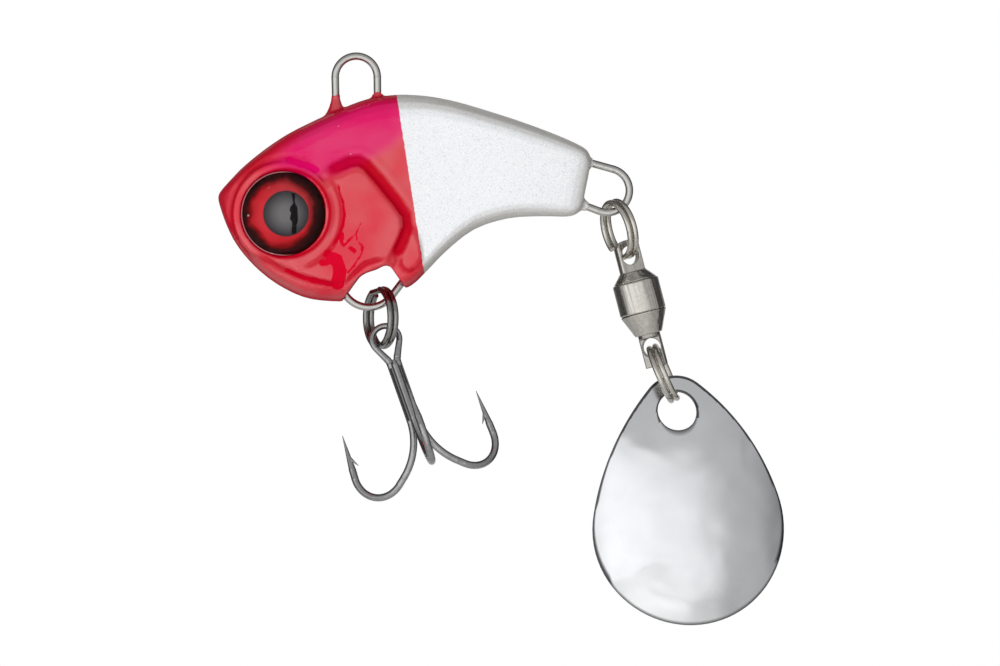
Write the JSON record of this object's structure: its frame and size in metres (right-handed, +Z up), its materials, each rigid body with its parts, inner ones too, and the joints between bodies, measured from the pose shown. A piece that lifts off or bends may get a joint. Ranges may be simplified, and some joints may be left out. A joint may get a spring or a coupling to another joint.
{
  "type": "tail spinner lure",
  "caption": "Cast fish-shaped jig on one bent wire, with a treble hook under the belly and a teardrop spinner blade on a ball-bearing swivel at the tail.",
  "frame": {"origin": "inside top of the line-tie loop, where a line or snap bears, on the lure's middle plane", "axes": "+X from nose to tail, +Y to the fish's right-hand side, +Z up along the pull of the line"},
  "size_m": [0.0538, 0.018, 0.0545],
  "materials": {
    "body_paint": "gloss enamel, crimson head and pearl white rear",
    "harness_wire": "drawn stainless wire",
    "eye_foil": "printed foil",
    "eye_lens": "clear cast resin",
    "ring_wire": "polished spring steel",
    "hook_wire": "black nickel",
    "braze": "plated braze",
    "swivel_nickel": "turned and nickel plated",
    "ball_steel": "ground",
    "blade_nickel": "polished nickel plate"
  },
  "bodies": {
    "head": {"head_casting": "body_paint", "wire_harness": "harness_wire", "left_eye_iris": "eye_foil", "left_eye_dome": "eye_lens", "right_eye_iris": "eye_foil", "right_eye_dome": "eye_lens"},
    "belly_ring": {"belly_split_ring": "ring_wire"},
    "treble": {"treble_double_hook": "hook_wire", "treble_single_hook": "hook_wire", "treble_braze": "braze"},
    "tail_ring": {"tail_split_ring": "ring_wire"},
    "swivel_case": {"swivel_upper_lug": "swivel_nickel", "swivel_barrel": "swivel_nickel", "swivel_cap": "swivel_nickel"},
    "ball_race": {"swivel_ball_1": "ball_steel", "swivel_ball_2": "ball_steel", "swivel_ball_3": "ball_steel", "swivel_ball_4": "ball_steel", "swivel_ball_5": "ball_steel", "swivel_ball_6": "ball_steel", "swivel_ball_7": "ball_steel", "swivel_ball_8": "ball_steel", "swivel_ball_9": "ball_steel"},
    "shaft": {"swivel_shaft": "swivel_nickel"},
    "blade_ring": {"blade_split_ring": "ring_wire"},
    "spinner": {"blade": "blade_nickel"}
  },
  "joints": [
    {"name": "belly_ring_swing", "type": "hinge", "parent": "head", "child": "belly_ring", "pos_m": [0.00324, 0, -0.02258], "axis": [1, 0, 0], "range_deg": [-70, 75]},
    {"name": "treble_swing", "type": "hinge", "parent": "belly_ring", "child": "treble", "pos_m": [0.00292, -0.00122, -0.02685], "axis": [-0.0148, -0.9679, 0.2508], "range_deg": [-75, 70]},
    {"name": "tail_ring_swing", "type": "hinge", "parent": "head", "child": "tail_ring", "pos_m": [0.02464, 0, -0.01435], "axis": [0.9272, 0, 0.3746], "range_deg": [-60, 80]},
    {"name": "swivel_swing", "type": "hinge", "parent": "tail_ring", "child": "swivel_case", "pos_m": [0.02586, -0.00042, -0.01859], "axis": [0.4092, -0.9063, 0.1058], "range_deg": [-30, 90]},
    {"name": "shaft_spin", "type": "hinge", "parent": "swivel_case", "child": "shaft", "pos_m": [0.02586, -0.00042, -0.01859], "axis": [0.2504, 0, -0.9681], "continuous": true},
    {"name": "ball_race_spin", "type": "hinge", "parent": "swivel_case", "child": "ball_race", "pos_m": [0.02586, -0.00042, -0.01859], "axis": [0.2504, 0, -0.9681], "continuous": true},
    {"name": "blade_ring_swing", "type": "hinge", "parent": "shaft", "child": "blade_ring", "pos_m": [0.02812, -0.00042, -0.0273], "axis": [-0.2178, -0.9744, -0.0563], "range_deg": [-48, 80]},
    {"name": "blade_swing", "type": "hinge", "parent": "blade_ring", "child": "spinner", "pos_m": [0.02916, -0.00042, -0.02976], "axis": [0.917, -0.0872, 0.3892], "range_deg": [-80, 80]}
  ],
  "couplings": [
    {"joint": "ball_race_spin", "follows": "shaft_spin", "ratio": 0.5}
  ]
}
